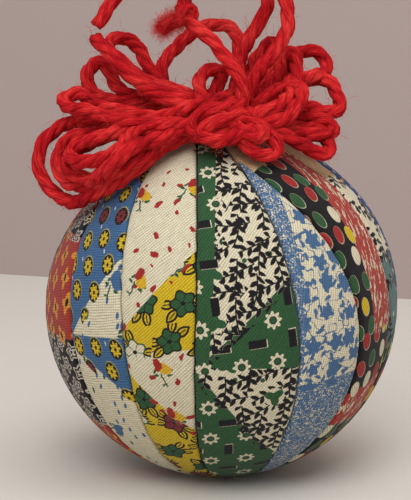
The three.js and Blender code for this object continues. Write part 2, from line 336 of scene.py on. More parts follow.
def chain_mesh(name, routes):
    """One mesh of bare edges, a chain for each route."""
    points, edges = [], []
    for route in routes:
        first = len(points)
        points.extend(route)
        edges.extend((first + i, first + i + 1) for i in range(len(route) - 1))
    mesh = bpy.data.meshes.new(name)
    mesh.from_pydata(points, edges, [])
    return mesh


# %% The tree that plies yarn
YARN_DIAMETER = 3.4 * MM
YARN_SIZES = {
    "Plies": 3,
    "Ply radius": 0.99 * MM,
    "Wound radius": 0.66 * MM,
    "Lay length": 12.5 * MM,
    "Step": 1.0 * MM,
    "Lumpiness": 0.26,
    "Sides": 6,
}
FULL_TURN = 2 * math.pi
TWIST_DRIFT = 0.7  # how unevenly the plies are twisted, in turns


def yarn_tree():
    tree, given = geometry_tree("plied yarn", YARN_SIZES)
    line = put(tree, "GeometryNodeMeshToCurve", (given["Geometry"],))
    spacing = {"Curve": line, "Length": given["Step"]}
    line = put(tree, "GeometryNodeResampleCurve", spacing, mode="LENGTH")
    along = put(tree, "GeometryNodeSplineParameter", out="Length")
    tangent = put(tree, "GeometryNodeInputTangent")
    line = stored(line, "along", along, "FLOAT")
    line = stored(line, "lie", tangent, "FLOAT_VECTOR")
    copies = {"Geometry": line, "Amount": given["Plies"]}
    line = put(tree, "GeometryNodeDuplicateElements", copies, domain="SPLINE")
    which = line.also("Duplicate Index")

    spot = put(tree, "GeometryNodeInputPosition")
    drift = noise_at(spot, 90.0, 1.0)
    turns = along / given["Lay length"] + which / given["Plies"] + drift * TWIST_DRIFT
    angle = turns * -FULL_TURN
    normal = put(tree, "GeometryNodeInputNormal")
    aside = tangent.vector("CROSS_PRODUCT", normal)
    out = normal.scaled(angle.math("COSINE")).vector("ADD", aside.scaled(angle.math("SINE")))
    line = stored(line, "side", out, "FLOAT_VECTOR")
    wound = {"Geometry": line, "Offset": out.scaled(given["Wound radius"])}
    line = put(tree, "GeometryNodeSetPosition", wound)

    lumps = noise_at(spot.vector("ADD", place_of(tree, which, which * 0.37)), 260.0, 1.0)
    swell = (lumps - 0.5) * 2 * given["Lumpiness"] + 1
    ring = put(tree, "GeometryNodeCurvePrimitiveCircle", {"Resolution": given["Sides"], "Radius": 1.0})
    ring = stored(ring, "ring", put(tree, "GeometryNodeInputPosition"), "FLOAT_VECTOR")
    thickness = swell * given["Ply radius"]
    swept = {"Curve": line, "Profile Curve": ring, "Scale": thickness, "Fill Caps": True}
    plies = put(tree, "GeometryNodeCurveToMesh", swept)
    # How far each point of a ply faces out from the yarn's middle; the yarn's material paints shade where
    # it faces in.
    side = put(tree, "GeometryNodeInputNamedAttribute", ("side",), data_type="FLOAT_VECTOR")
    facing = side.vector("DOT_PRODUCT", put(tree, "GeometryNodeInputNormal")).also("Value")
    plies = stored(plies, "facing", facing, "FLOAT")
    smooth = put(tree, "GeometryNodeSetShadeSmooth", (plies,))
    close_tree(tree, smooth, given["Material"])
    return tree


YARN_TREE = yarn_tree()
print("yarn tree nodes:", len(YARN_TREE.nodes))

# %% [markdown]
# ## The loop that the ball hangs from
#
# One piece of yarn comes up out of the bow, goes round, and is knotted to itself. It stands up
# because it is held from above, just out of view. Its route repeats the solid's own points, so
# that the yarn lies where the solid is.

# %% The hanging loop
LOOP_ROUTE = in_metres([
    (3.8, -12.5, 79.5),
    (4.6, -13.5, 83.0),
    (3.4, -13.0, 87.0),
    (0.4, -12.0, 91.0),
    (-2.4, -11.0, 94.6),
    (-5.6, -10.3, 97.0),
    (-7.6, -9.8, 100.3),
    (-7.4, -9.2, 104.5),
    (-4.6, -8.6, 109.0),
    (0.8, -8.1, 111.8),
    (6.8, -8.0, 110.8),
    (11.6, -8.0, 106.8),
    (13.6, -8.2, 101.8),
    (13.8, -8.7, 96.5),
    (11.6, -9.6, 92.3),
    (8.4, -10.6, 88.6),
    (6.2, -11.0, 84.5),
    (5.6, -9.6, 80.5),
])
loop_route = smooth_route(LOOP_ROUTE)
hanging_loop = grown("hanging_loop_yarn", YARN_TREE, chain_mesh("loop", [loop_route]), Material=RED_YARN)
print("hanging loop, mm:", round(route_length(loop_route) / MM, 1))

# %% The knot that closes it
KNOT_CENTRE = Vector((-7.4, -9.9, 99.6)) * MM
KNOT_RADIUS = 1.35 * MM
KNOT_HEIGHT = 1.5 * MM
KNOT_SWING = 0.35  # how much its reach grows and shrinks, as a share
KNOT_FLATNESS = 0.8  # its depth from front to back, as a share of its width
KNOT_STEPS = 60
KNOT_PLY = {"Ply_radius": 0.62 * MM, "Wound_radius": 0.5 * MM}


def knot_route():
    """A trefoil: round twice while it rises and falls three times."""
    route = []
    for place in range(KNOT_STEPS + 1):
        turn = FULL_TURN * place / KNOT_STEPS
        reach = KNOT_RADIUS * (1 + KNOT_SWING * math.cos(3 * turn))
        rise = KNOT_HEIGHT * math.sin(3 * turn)
        away = Vector((reach * math.cos(2 * turn), KNOT_FLATNESS * reach * math.sin(2 * turn), rise))
        route.append(KNOT_CENTRE + away)
    return route


knot = grown("loop_knot", YARN_TREE, chain_mesh("knot", [knot_route()]), Material=RED_YARN, **KNOT_PLY)

# %% [markdown]
# ## The free ends
#
# The knot leaves a short end that has opened into fluff. A second, longer end rises beside the
# loop, goes over it and hangs down on the left.

# %% The short end and the long tail
KNOT_END_ROUTE = in_metres([
    (-7.4, -10.0, 99.0),
    (-9.2, -10.6, 98.2),
    (-11.2, -11.0, 97.4),
    (-12.6, -11.2, 96.0),
])
TAIL_ROUTE = in_metres([
    (5.2, -4.6, 81.0),
    (3.6, -3.4, 86.0),
    (4.4, -3.0, 91.5),
    (7.2, -3.4, 96.5),
    (9.8, -4.0, 101.5),
    (8.8, -4.3, 107.5),
    (3.0, -4.0, 112.6),
    (-5.5, -4.5, 113.8),
    (-13.5, -5.5, 111.2),
    (-19.5, -6.5, 106.4),
    (-23.6, -7.0, 101.0),
    (-26.2, -7.5, 97.2),
])
tail_route = smooth_route(TAIL_ROUTE)
knot_end = grown(
    "knot_end",
    YARN_TREE,
    chain_mesh("knot end", [smooth_route(KNOT_END_ROUTE)]),
    Material=RED_YARN,
    Plies=4,
    Ply_radius=0.6 * MM,
    Wound_radius=0.95 * MM,
)
loose_tail = grown("loose_tail_yarn", YARN_TREE, chain_mesh("tail", [tail_route]), Material=RED_YARN)
print("loose tail, mm:", round(route_length(tail_route) / MM, 1))

# %% [markdown]
# ## The bow
#
# The bow is one long piece of yarn laid in loops, all tied at the heart. Each loop is given by a few
# points in millimetres that its yarn passes on its way out of the heart and back. A curve through them
# then wanders a little, as soft yarn does.

# %% The loops of the bow
BOW_HEART = Vector((-1, -9, 79)) * MM
HEART_CROSSING = 5 * MM  # how far a loop's ends run on past the heart
HEART_SPREAD = 2 * MM  # how far they lie from its middle there
BOW_CLEARANCE = 0.4 * MM
BOW_ROUTES = {
    "low left outer": [
        (-14, -12, 77), (-23, -11, 77), (-33, -9, 77), (-38, -9, 73), (-38, -10, 67), (-35, -12, 62),
        (-29, -16, 61), (-21, -21, 65), (-13, -19, 72), (-7, -17, 75),
    ],
    "low left second": [
        (-17, -14, 75), (-25, -14, 75), (-33, -13, 73), (-35, -13, 69), (-33, -14, 65), (-27, -18, 64),
        (-20, -23, 68), (-13, -21, 73), (-6, -17, 76),
    ],
    "low left third": [
        (-18, -17, 75), (-26, -17, 74), (-31, -16, 71), (-32, -17, 67), (-27, -21, 66), (-22, -26, 69),
        (-16, -25, 73), (-11, -21, 75), (-5, -16, 77),
    ],
    "low left inner": [
        (-15, -18, 77), (-24, -20, 75), (-29, -19, 73), (-31, -19, 71), (-29, -21, 69), (-25, -24, 70),
        (-21, -25, 72), (-18, -22, 75), (-10, -18, 77),
    ],
    "left level": [
        (-9, -20, 77), (-14, -21, 77), (-21, -19, 78), (-27, -16, 79), (-32, -13, 80), (-34, -11, 82),
        (-31, -9, 83), (-26, -11, 80), (-18, -15, 79), (-11, -17, 79), (-5, -17, 81), (0, -15, 82),
    ],
    "left oval": [
        (-14, -7, 80), (-21, -5, 81), (-26, -3, 82), (-29, -1, 85), (-29, 0, 88), (-27, 1, 90),
        (-25, 0, 89), (-23, -2, 86), (-20, -4, 83), (-12, -7, 81),
    ],
    "left high": [
        (-9, -12, 82), (-15, -12, 84), (-19, -12, 87), (-22, -11, 90), (-24, -10, 92), (-26, -8, 94),
        (-25, -5, 93), (-23, -5, 91), (-20, -5, 88), (-16, -7, 85),
    ],
    "left peak": [
        (-8, -3, 82), (-13, 0, 85), (-15, 3, 87), (-17, 4, 89), (-18, 5, 92), (-20, 5, 94), (-22, 5, 94),
        (-24, 4, 93), (-24, 3, 91), (-22, 1, 88), (-19, 0, 86), (-14, -2, 84),
    ],
    "middle left": [
        (-7, -13, 80), (-12, -13, 82), (-16, -11, 84), (-16, -8, 85), (-11, -7, 84), (-6, -8, 82),
    ],
    "middle small": [
        (-3, -11, 81), (-4, -9, 84), (-4, -8, 86), (-3, -7, 88), (0, -6, 88), (0, -5, 86), (-1, -5, 84),
        (-2, -6, 82),
    ],
    "back arch": [
        (-9, -2, 81), (-13, 2, 85), (-13, 4, 88), (-11, 6, 92), (-8, 7, 95), (-3, 8, 97), (2, 7, 97),
        (4, 5, 94), (4, 2, 90), (3, -3, 85),
    ],
    "back upright": [
        (5, 0, 84), (7, 4, 89), (9, 6, 92), (11, 6, 94), (12, 4, 92), (11, 1, 88), (8, -3, 83),
    ],
    "right steep": [
        (6, -8, 81), (9, -6, 83), (12, -3, 87), (13, -1, 90), (15, -1, 92), (16, -3, 89), (15, -6, 85),
        (10, -9, 82),
    ],
    "right peak": [
        (7, -7, 82), (14, -2, 85), (15, 1, 88), (16, 3, 90), (17, 4, 91), (20, 4, 92), (22, 3, 91),
        (23, 1, 89), (22, -1, 87), (19, -4, 86), (16, -8, 85), (15, -11, 83), (14, -14, 82),
        (11, -17, 80), (8, -19, 79), (5, -20, 77),
    ],
    "right bright": [
        (-3, -18, 75), (3, -20, 75), (8, -20, 77), (12, -19, 78), (15, -17, 80), (17, -14, 82),
        (17, -12, 84), (15, -10, 85), (12, -9, 84), (8, -9, 81),
    ],
    "right oval": [
        (11, -5, 82), (16, -2, 84), (19, 0, 85), (22, -1, 86), (24, -2, 85), (25, -3, 82), (25, -5, 80),
        (24, -7, 79), (22, -8, 79), (19, -9, 80), (14, -10, 80),
    ],
    "right level": [
        (8, -10, 79), (15, -9, 79), (20, -9, 78), (23, -9, 77), (24, -10, 75), (22, -12, 74),
        (16, -14, 75), (9, -14, 77),
    ],
    "right low": [
        (6, -11, 77), (12, -10, 77), (18, -10, 76), (22, -11, 75), (23, -13, 73), (23, -15, 72),
        (21, -17, 71), (18, -18, 72), (14, -19, 74), (8, -17, 77),
    ],
    "front curl": [
        (-1, -17, 78), (2, -21, 75), (4, -22, 74), (6, -23, 72), (9, -23, 71), (11, -22, 72),
        (11, -22, 74), (9, -21, 76), (5, -20, 78),
    ],
    "behind left": [(-7, -4, 80), (-14, 1, 81), (-18, 6, 80), (-17, 9, 77), (-11, 6, 76), (-6, 0, 78)],
    "behind right": [(6, -4, 80), (13, 2, 81), (17, 7, 80), (15, 10, 77), (9, 7, 76), (4, 0, 78)],
    "behind": [(-2, -2, 81), (-4, 6, 82), (-3, 12, 79), (0, 14, 76), (3, 11, 77), (3, 3, 80)],
    "front lump": [
        (6, -17, 79), (1, -22, 78), (-2, -23, 77), (-4, -23, 75), (-1, -24, 74), (3, -23, 75),
        (8, -20, 77),
    ],
    "front lump inner": [
        (4, -16, 81), (0, -19, 80), (-4, -20, 79), (-6, -20, 77), (-5, -21, 75), (0, -22, 75),
        (5, -20, 76),
    ],
    "front curl inner": [
        (-1, -18, 79), (3, -21, 77), (6, -23, 75), (8, -23, 74), (9, -23, 75), (8, -21, 77), (4, -19, 79),
    ],
}
WANDER_SCALE = 0.11 / MM
WANDER = 1.2 * MM


def lifted_off_ball(point):
    """Keeps yarn from sinking into the ball."""
    out = point - BALL_CENTRE
    least = BALL_RADIUS + YARN_DIAMETER / 2 + BOW_CLEARANCE
    return BALL_CENTRE + out * max(1, least / out.length)


def heart_ends(points):
    """Where a loop's two ends lie, across the heart from the loop."""
    reach = (points[len(points) // 2] - BOW_HEART).normalized()
    aside = Vector((0, -1, 0)).cross(reach).normalized() * HEART_SPREAD
    crossed = BOW_HEART - reach * HEART_CROSSING
    return crossed + aside, crossed - aside


def bow_loop_route(points, own_wander):
    """A loop's line from the heart and back, with a little wandering of its own."""
    start, end = heart_ends(points)
    smooth = smooth_route([start, *points, end])
    route = []
    for place, point in enumerate(smooth):
        free = math.sin(math.pi * place / (len(smooth) - 1))
        stray = noise.noise_vector(point * WANDER_SCALE + own_wander)
        route.append(lifted_off_ball(point + stray * WANDER * free))
    return route


bow_routes = [
    bow_loop_route(in_metres(points), Vector((7.3 * number, 0, 0)))
    for number, points in enumerate(BOW_ROUTES.values())
]
bow = grown("yarn_bow_loops", YARN_TREE, chain_mesh("bow", bow_routes), Material=RED_YARN)
print("yarn in the bow, m:", round(sum(map(route_length, bow_routes)), 2))

# %% [markdown]
# ## Fuzz
#
# Soft yarn has a halo of loose fibres that blur its outline. Each fibre is a thin bent thread
# with three sides, and a tree plants them on the plies, leaning along the yarn's own direction.

# %% The tree that plants fuzz
FUZZ_SIZES = {
    "Density": 2.2e5,
    "Fibre length": 3.2 * MM,
    "Fibre radius": 0.026 * MM,
    "Lift": 0.36,
    "Seed": 3,
}


def fuzz_tree():
    tree, given = geometry_tree("yarn fuzz", FUZZ_SIZES)
    planting = {"Mesh": given["Geometry"], "Density": given["Density"], "Seed": given["Seed"]}
    points = put(tree, "GeometryNodeDistributePointsOnFaces", planting)
    lie = put(tree, "GeometryNodeInputNamedAttribute", ("lie",), data_type="FLOAT_VECTOR")
    points = stored(points, "out", points.also("Normal"), "FLOAT_VECTOR")
    out = put(tree, "GeometryNodeInputNamedAttribute", ("out",), data_type="FLOAT_VECTOR")

    def chance(low, high, salt):
        values = {2: low, 3: high, "Seed": given["Seed"] + salt}
        return put(tree, "FunctionNodeRandomValue", values, out=1, data_type="FLOAT")

    forward = lie.scaled(chance(-1.0, 1.0, 1).math("SIGN"))
    stray = place_of(tree, chance(-0.5, 0.5, 2), chance(-0.5, 0.5, 3), chance(-0.5, 0.5, 4))
    leaning = forward.vector("ADD", out.scaled(given["Lift"] * chance(0.2, 1.6, 5)))
    roll = place_of(tree, 0.0, 0.0, chance(0.0, FULL_TURN, 6))
    rolled = put(tree, "FunctionNodeEulerToRotation", (roll,))
    values = {"Rotation": rolled, "Vector": leaning.vector("ADD", stray)}
    turned = put(tree, "FunctionNodeAlignRotationToVector", values, axis="Z")

    reach = given["Fibre length"]
    bend = {
        "Resolution": 2,
        "Start": (0.0, 0.0, 0.0),
        "Middle": place_of(tree, reach * -0.08, 0.0, reach * 0.55),
        "End": place_of(tree, reach * 0.38, 0.0, reach * 0.85),
    }
    thread = put(tree, "GeometryNodeCurveQuadraticBezier", bend)
    section = {"Resolution": 3, "Radius": given["Fibre radius"]}
    section = put(tree, "GeometryNodeCurvePrimitiveCircle", section)
    thread = put(tree, "GeometryNodeCurveToMesh", {"Curve": thread, "Profile Curve": section})
    size = chance(0.4, 1.2, 7)
    scale = place_of(tree, size, size, size)
    planted = {"Points": points, "Instance": thread, "Rotation": turned, "Scale": scale}
    close_tree(tree, put(tree, "GeometryNodeInstanceOnPoints", planted), given["Material"])
    return tree


FUZZ_TREE = fuzz_tree()
FUZZ_LIGHT = colour(230, 64, 62)
FUZZ_DEEP = colour(176, 18, 24)


def fuzz_material():
    material, tree, shader = new_material("red fuzz", Roughness=1.0, Specular_IOR_Level=0.1)
    place = put(tree, "ShaderNodeTexCoord", out="Object")
    shade = blended(tree, ramp(noise_at(place, 500.0), 0.35, 0.65), FUZZ_DEEP, FUZZ_LIGHT)
    finish_shader(shader, shade, noise_at(place, 2000.0), 0.01 * MM, 0.3)
    return material


RED_FUZZ = fuzz_material()
bow_fuzz = grown("bow_fuzz", FUZZ_TREE, bow.data, Material=RED_FUZZ)
loop_fuzz = grown("loop_fuzz", FUZZ_TREE, hanging_loop.data, Material=RED_FUZZ)
knot_fuzz = grown("knot_fuzz", FUZZ_TREE, knot.data, Material=RED_FUZZ, Fibre_length=1.6 * MM)
tuft = grown(
    "knot_tuft",
    FUZZ_TREE,
    knot_end.data,
    Material=RED_FUZZ,
    Density=2.4e7,
    Lift=1.2,
    Fibre_length=2.4 * MM,
    Fibre_radius=0.02 * MM,
)
tail_fuzz = grown("tail_fuzz", FUZZ_TREE, loose_tail.data, Material=RED_FUZZ)

# %% [markdown]
# ## The strips of cloth
#
# Each strip is a gore: narrow at both poles and widest in the middle. Its cloth is pushed into the
# slit on either side, so it rolls over at the edge and stands a little crowned between. A gore is
# made as a closed pad by a rule: rows from pole to pole, and across each row the cloth's face, its
# two tucked edges and its hidden back. Real cloth would be cut flat and pushed in with a blade.

# %% The seams between the strips
SEAM_GAP = 0.35 * MM
POLE_LEAN = math.radians(7.7)
POLE_TOWARD = math.radians(-66)
TABLE_MIDDLE = 90
TABLE_REACH = 60  # the seam table covers this many degrees on each side of the middle
GORE_TIP_WIDTH = 0.3 * MM
TIP_STEP = 0.25  # degrees between the places that are tried for a tip
SEAM_WAVER = 0.12 * MM
# Azimuths in degrees of each gore's left-hand seam: near the top, at the middle, near the base.
SEAMS = [
    (-84, -84, -84),
    (-64, -54, -56),
    (-36, -31, -38),
    (-3, -8, -20),
    (20, 24, 15),
    (20, 47, 32),
    (63, 68, 62),
    (81, 83, 84),
    (105, 106, 108),
    (129, 131, 131),
    (155, 154, 153),
    (180, 179, 178),
    (203, 204, 203),
    (226, 227, 228),
    (250, 252, 251),
]
# Soft hollows where the filling has settled: azimuth, colatitude, depth and breadth in degrees.
HOLLOWS = [
    {"azimuth": -88, "colatitude": 42, "depth": 2.2 * MM, "breadth": 26},
    {"azimuth": 86, "colatitude": 40, "depth": 0.9 * MM, "breadth": 24},
]


def seam_azimuth(number, colatitude):
    """Where a seam runs, in degrees, on a curve through its three places."""
    turns, which = divmod(number, len(SEAMS))
    top, middle, base = SEAMS[which]
    along = np.clip((colatitude - TABLE_MIDDLE) / TABLE_REACH, -1, 1)
    return 360 * turns + middle + (base - top) / 2 * along + ((base + top) / 2 - middle) * along**2


def unit_place(colatitude, azimuth):
    down, round_ = np.radians(colatitude), np.radians(azimuth)
    return np.stack([np.sin(down) * np.sin(round_), -np.sin(down) * np.cos(round_), np.cos(down)], -1)


def ball_radius(colatitude, azimuth):
    here = unit_place(colatitude, azimuth)
    radius = BALL_RADIUS
    for hollow in HOLLOWS:
        middle = unit_place(hollow["colatitude"], hollow["azimuth"])
        away = np.degrees(np.arccos(np.clip(here @ middle, -1, 1))) / hollow["breadth"]
        radius = radius - hollow["depth"] * np.exp(-(away**2))
    return radius


def gore_span(number, colatitude):
    """A gore's middle azimuth, its half width in degrees and its width in metres."""
    left, right = seam_azimuth(number, colatitude), seam_azimuth(number + 1, colatitude)
    per_degree = math.radians(1) * BALL_RADIUS * np.sin(np.radians(colatitude))
    width = (right - left) * per_degree - SEAM_GAP
    return (left + right) / 2, width / 2 / per_degree, width


def gore_tips(number):
    """The colatitudes where a gore is just wide enough to have a tip."""
    colatitudes = np.arange(TIP_STEP, 180, TIP_STEP)
    wide = gore_span(number, colatitudes)[2] >= GORE_TIP_WIDTH
    return colatitudes[wide][0], colatitudes[wide][-1]


print("widest gore, mm:", round(max(gore_span(n, 90)[2] for n in range(len(SEAMS))) / MM, 1))

# %% One gore as a closed pad
GORE_ROWS = 110
EDGE_ROLL = 1.2 * MM  # how far in from the seam the cloth starts to roll over
ROLL_SHARE = 0.35  # the most of a narrow gore's width that rolls over
EDGE_DROP = 0.6 * MM
TUCK_DEPTH = 2.6 * MM
PUCKER = 0.10 * MM
PUCKER_REACH = 1.6 * MM  # how soon the puckers fade, away from the seam
PUCKERS_PER_DEGREE = 0.42
WAVERS_PER_DEGREE = 0.22
FULL_GROOVE_WIDTH = 8 * MM
FACE_COLUMNS = 27
# Across the face from seam to seam, closer together where the edge rolls over.
FACE_PLACES = np.sin(np.linspace(-math.pi / 2, math.pi / 2, FACE_COLUMNS))


def waver(values, seed, scale):
    """Smooth unevenness from -1 to 1 along a row of numbers."""
    return np.array([noise.noise(Vector((value * scale, seed, 0.5))) * 2 for value in values])


def gore_depth(place, width, colatitude, number):
    """How far the cloth lies below the ball's surface at a place across the gore."""
    from_seam = (1 - abs(place)) * width / 2
    shoulder = np.minimum(EDGE_ROLL, ROLL_SHARE * width)
    roll = np.clip(1 - from_seam / shoulder, 0, 1)
    groove = EDGE_DROP * np.clip(width / FULL_GROOVE_WIDTH, 0, 1)
    depth = groove * (1 - np.sqrt(1 - 0.999 * roll**2))  # just short of a quarter circle
    seam = number + (place > 0)
    puckers = waver(colatitude, 5.0 * (seam % len(SEAMS)), PUCKERS_PER_DEGREE)
    near_seam = np.exp(-from_seam / PUCKER_REACH) * np.clip(width / FULL_GROOVE_WIDTH, 0, 1)
    return depth + PUCKER * near_seam * (0.5 + puckers)


def seam_shift(number, colatitude):
    """A seam's small wandering in degrees, shared by the gores on both its sides."""
    seam = number % len(SEAMS)
    per_degree = math.radians(1) * BALL_RADIUS * np.sin(np.radians(colatitude))
    fade = np.sin(np.radians(colatitude)) ** 2
    return waver(colatitude, 40.0 + 3.7 * seam, WAVERS_PER_DEGREE) * SEAM_WAVER * fade / per_degree


def gore_mesh(number):
    top, base = gore_tips(number)
    colatitude = np.linspace(top, base, GORE_ROWS)
    middle, half, width = gore_span(number, colatitude)
    left_shift, right_shift = seam_shift(number, colatitude), seam_shift(number + 1, colatitude)
    equator = gore_span(number, 90)[0]
    # Every ring: the face, then down the right-hand tuck, across the back and up the left.
    ring = [(place, None) for place in FACE_PLACES]
    ring += [(1, 0.6), (1, 1.0), (0.55, 1.25), (-0.55, 1.25), (-1, 1.0), (-1, 0.6)]
    rows_of_points, rows_of_cloth = [], []
    for place, tucked in ring:
        share = (place + 1) / 2
        azimuth = middle + place * half + left_shift * (1 - share) + right_shift * share
        depth = gore_depth(place, width, colatitude, number)
        if tucked is not None:
            scale = np.clip(width / FULL_GROOVE_WIDTH, 0.12, 1)
            depth = EDGE_DROP * scale + TUCK_DEPTH * tucked * scale
        radius = ball_radius(colatitude, azimuth) - depth
        rows_of_points.append(unit_place(colatitude, azimuth) * radius[:, None])
        round_ = np.radians(middle - equator) + np.radians(azimuth - middle)
        across = round_ * BALL_RADIUS * np.sin(np.radians(colatitude))
        across = across + (0 if tucked is None else np.sign(place) * depth)
        rows_of_cloth.append(np.stack([across, np.radians(colatitude) * BALL_RADIUS], -1) / MM)
    points = np.stack(rows_of_points, 1)
    cloth = np.stack(rows_of_cloth, 1)
    return points, cloth


hinge = Vector((math.cos(POLE_TOWARD), math.sin(POLE_TOWARD), 0))
ball_placement = Matrix.Translation(BALL_CENTRE) @ Matrix.Rotation(POLE_LEAN, 4, hinge)


def build_gore(number, material):
    points, cloth = gore_mesh(number)
    rows, across = points.shape[:2]
    placed = [ball_placement @ Vector(point) for point in points.reshape(-1, 3)]
    placed = [Vector((p.x, p.y, max(p.z, 0.0))) for p in placed]  # flat where the ball rests
    faces = []
    for row in range(rows - 1):
        for column in range(across):
            a = row * across + column
            b = row * across + (column + 1) % across
            faces.append((a, a + across, b + across, b))
    faces.append(tuple(range(across)))
    faces.append(tuple(reversed(range((rows - 1) * across, rows * across))))
    name = f"gore_{number + 1:02d}_cloth"
    mesh = bpy.data.meshes.new(name)
    mesh.from_pydata(placed, [], faces)
    layer = mesh.uv_layers.new(name="cloth")
    flat = cloth.reshape(-1, 2)
    corners = np.array([loop.vertex_index for loop in mesh.loops])
    layer.data.foreach_set("uv", flat[corners].astype(np.float32).ravel())
    mesh.polygons.foreach_set("use_smooth", [True] * len(mesh.polygons))
    mesh.materials.append(material)
    gore = bpy.data.objects.new(name, mesh)
    scene.collection.objects.link(gore)
    return gore


# %% [markdown]
# ## Printed cotton
#
# The cloth is a printed patchwork: the patches aren't sewn, they are printed with their borders,
# so flowers reach over from one patch into the next while the weave runs on underneath. Each
# print is a node group that is given a place on the cloth in millimetres. It gives a colour, and
# how much a motif covers the ground there, which lets a motif reach over the patch's border.

# %% Motifs as distances
SOFT_EDGE = 0.07  # how soft the ink's edge is, in millimetres


def inside(distance, limit, soft=SOFT_EDGE):
    """1 where a distance is under its limit, and 0 outside."""
    if isinstance(limit, Flow):
        return ramp(limit - distance, -soft, soft)
    return ramp(distance, limit + soft, limit - soft)


def shifted(place, x, y):
    return place.vector("SUBTRACT", (x, y, 0))


def turned(place, angle):
    values = {"Vector": place, "Angle": angle}
    return put(place.tree, "ShaderNodeVectorRotate", values, rotation_type="Z_AXIS")


def crinkled(place, scale, amount, detail=2.0):
    """A place moved about by noise, so that what is drawn there wavers a little."""
    values = {"Vector": place, "Scale": scale, "Detail": detail}
    moved = put(place.tree, "ShaderNodeTexNoise", values, out="Color")
    return place.vector("ADD", moved.scaled(amount))


def size_of(place):
    return put(place.tree, "ShaderNodeVectorMath", (place,), out="Value", operation="LENGTH")


def oval(place, half_width, half_height):
    """An oval of ink around the place's zero."""
    stretched = place.vector("MULTIPLY", (1 / half_width, 1 / half_height, 0))
    return inside(size_of(stretched), 1.0, SOFT_EDGE / min(half_width, half_height))


def box(place, half_width, half_height):
    x, y, _ = place.parts()
    return inside(x.math("ABSOLUTE"), half_width) * inside(y.math("ABSOLUTE"), half_height)


def flower_edge(place, petals, depth):
    """How far out a place is, for a shape whose edge goes in and out between its petals."""
    x, y, _ = place.parts()
    return size_of(place) / ((y.math("ARCTAN2", x) * petals).math("COSINE") * depth + 1)


def flower(place, petals, radius, depth):
    """A round flower whose edge goes in and out between its petals."""
    return inside(flower_edge(place, petals, depth), radius)


def leaf(place, half_length, half_width):
    """A leaf pointed at both ends, lying along x."""
    x, y, _ = place.parts()
    bulge = (1 - (x / half_length).math("POWER", 2.0)) * half_width
    return inside(y.math("ABSOLUTE") - bulge, 0.0)


def any_of(*inks):
    covered = inks[0]
    for ink in inks[1:]:
        covered = covered.math("MAXIMUM", ink)
    return covered


def likely(chance, share):
    """1 for that share of the motifs and 0 for the others."""
    return chance.math("LESS_THAN", share)


def scattered(place, pitch, wander, salt=(0, 0), lean=0.0):
    """The way from the nearest motif's middle, and three random numbers for that motif."""
    tree = place.tree
    moved = place.vector("ADD", (salt[0], salt[1], 0))
    x, y, _ = moved.parts()
    sheared = place_of(tree, x + y * lean, y)
    values = {"Vector": sheared, "Scale": 1 / pitch, "Randomness": wander}
    middle = put(tree, "ShaderNodeTexVoronoi", values, out="Position", voronoi_dimensions="2D")
    gone_x, gone_y, _ = sheared.vector("SUBTRACT", middle).parts()
    chances = put(tree, "ShaderNodeSeparateXYZ", (middle.also("Color"),))
    gone = place_of(tree, gone_x - gone_y * lean, gone_y)
    return gone, (chances, chances.also("Y"), chances.also("Z"))


# %% A print as a node group
PRINTS = {}


def print_group(name):
    """Makes a node group from a function that paints a place."""
    def keep(painter):
        tree = bpy.data.node_groups.new(name, "ShaderNodeTree")
        face = tree.interface
        face.new_socket("Place", in_out="INPUT", socket_type="NodeSocketVector")
        face.new_socket("Color", in_out="OUTPUT", socket_type="NodeSocketColor")
        face.new_socket("Motif", in_out="OUTPUT", socket_type="NodeSocketFloat")
        place = Flow(tree.nodes.new("NodeGroupInput").outputs["Place"])
        shade, motif = painter(place)
        end = tree.nodes.new("NodeGroupOutput")
        tree.links.new(shade.socket, end.inputs["Color"])
        tree.links.new(motif.socket, end.inputs["Motif"])
        PRINTS[name] = tree
        return painter
    return keep


def inked(ground, *layers):
    """Paints inks over a ground in order; each layer is a cover and its colour."""
    shade = ground
    for cover, ink in layers:
        shade = blended(cover.tree, cover, shade, ink)
    return shade, any_of(*(cover for cover, _ in layers))


CREAM = colour(228, 221, 195)
BLACK = colour(26, 23, 28)
BLUE = colour(68, 108, 156)
GREEN = colour(50, 92, 58)
YELLOW = colour(218, 188, 38)
RED = colour(168, 44, 42)
DULL_RED = colour(128, 44, 52)
AMBER = colour(226, 152, 52)
WHITE = colour(234, 230, 220)

# %% Blue cloth with daisies in black ovals
@print_group("blue daisies")
def blue_daisies(place):
    spot, (chance, _, _) = scattered(place, 5.5, 0.14, lean=0.5)
    spot = turned(spot, 0.24)
    stretched = spot.vector("MULTIPLY", (1, 0.72, 0))
    petal = blended(place.tree, likely(chance, 0.16), YELLOW, DULL_RED)
    dash, (dash_chance, _, _) = scattered(place, 5.5, 0.5, salt=(2.4, 2.9), lean=0.5)
    tick = box(turned(dash, 0.3), 0.13, 0.42) * likely(dash_chance, 0.45)
    return inked(
        BLUE,
        (tick, WHITE),
        (oval(shifted(spot, 0.1, -0.14), 1.6, 2.24), colour(176, 170, 110)),
        (oval(spot, 1.52, 2.14), BLACK),
        (flower(stretched, 8, 1.04, 0.22), petal),
        (oval(spot, 0.3, 0.42), BLACK),
    )


